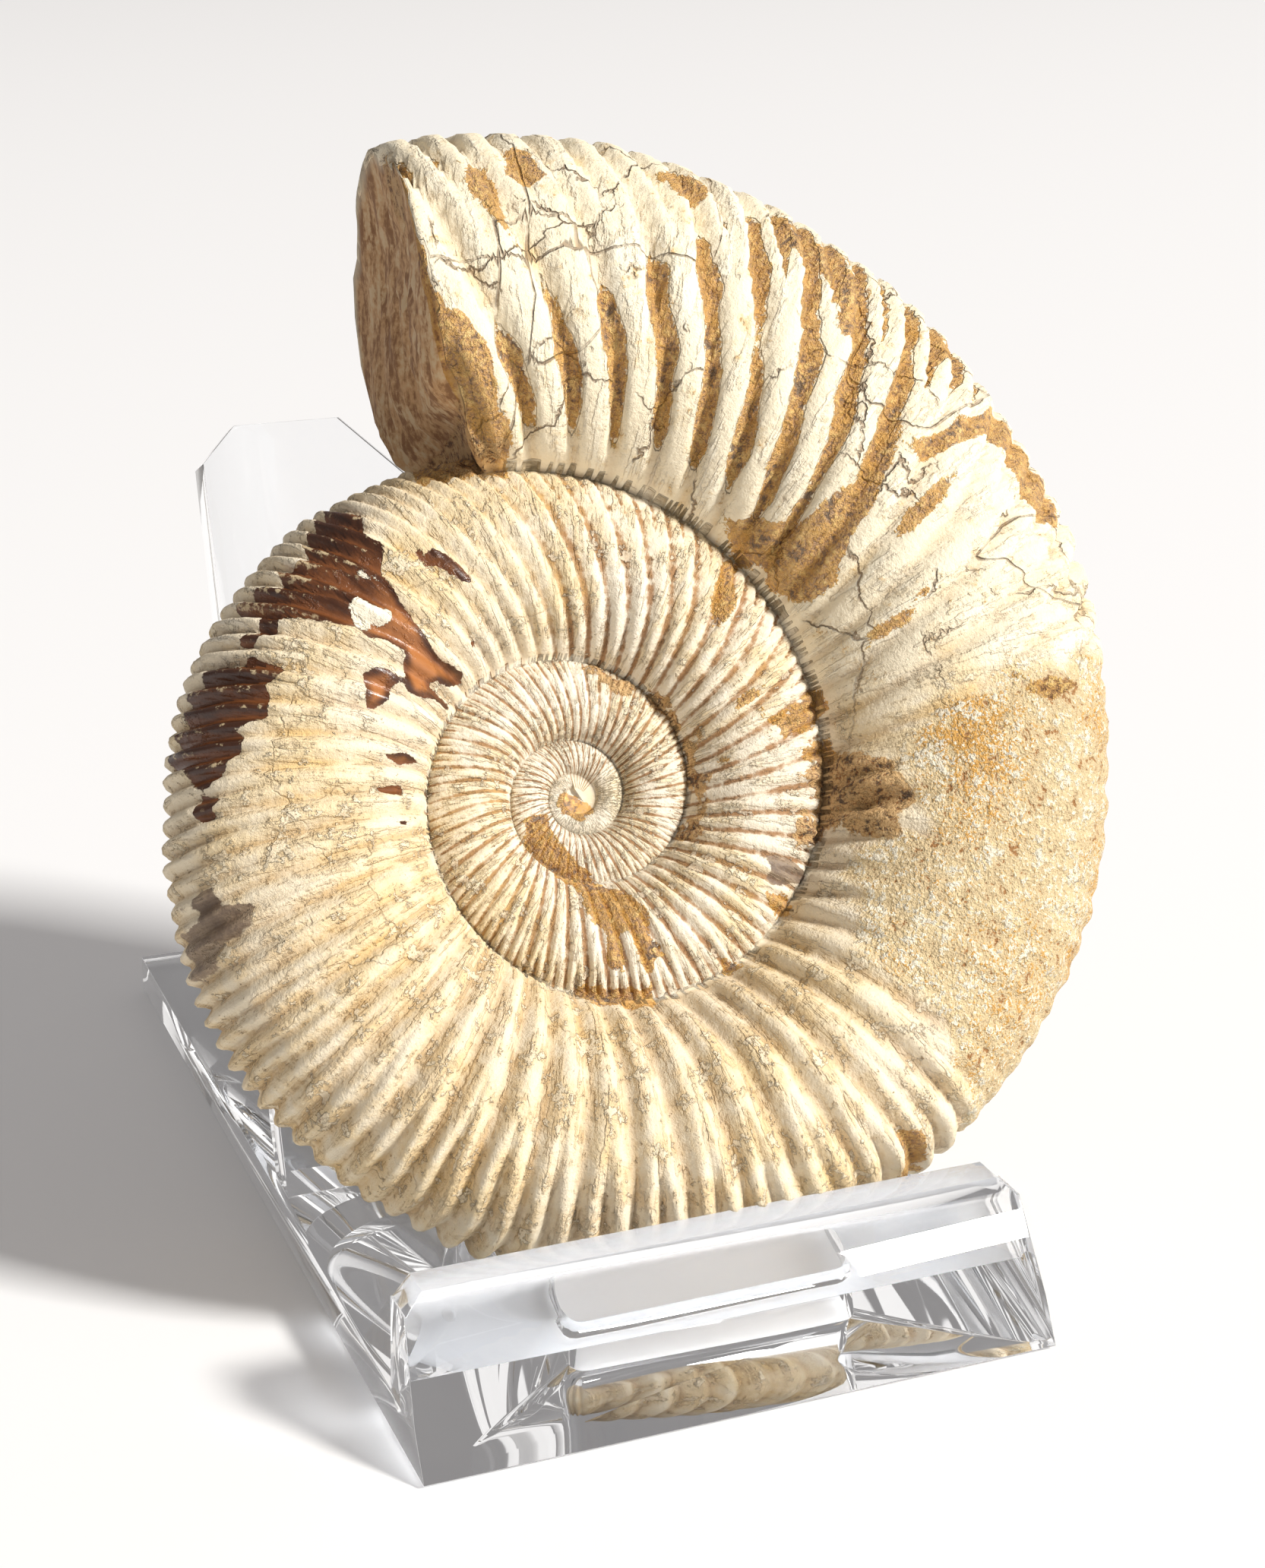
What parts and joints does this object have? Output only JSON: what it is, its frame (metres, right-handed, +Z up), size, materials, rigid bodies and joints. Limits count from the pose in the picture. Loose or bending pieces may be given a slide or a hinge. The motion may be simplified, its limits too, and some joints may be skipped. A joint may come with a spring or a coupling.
{
  "type": "perisphinctes ammonite",
  "caption": "Ribbed coiled ammonite fossil with a broken end, leaning on a clear moulded display stand with a low front lip and two arms behind.",
  "frame": {"origin": "bottom centre of the whole object's box, on the surface the stand stands on", "axes": "+Z up; +Y from the stand's lip back towards its arms; +X to the right of a viewer who stands at the lip"},
  "size_m": [0.07, 0.0816, 0.0761],
  "materials": {
    "chalky_shell": "matt chalky shell over granular stone",
    "clear_plastic": "clear, as moulded"
  },
  "bodies": {
    "root": {"ammonite": "chalky_shell", "display_stand": "clear_plastic"}
  },
  "joints": []
}
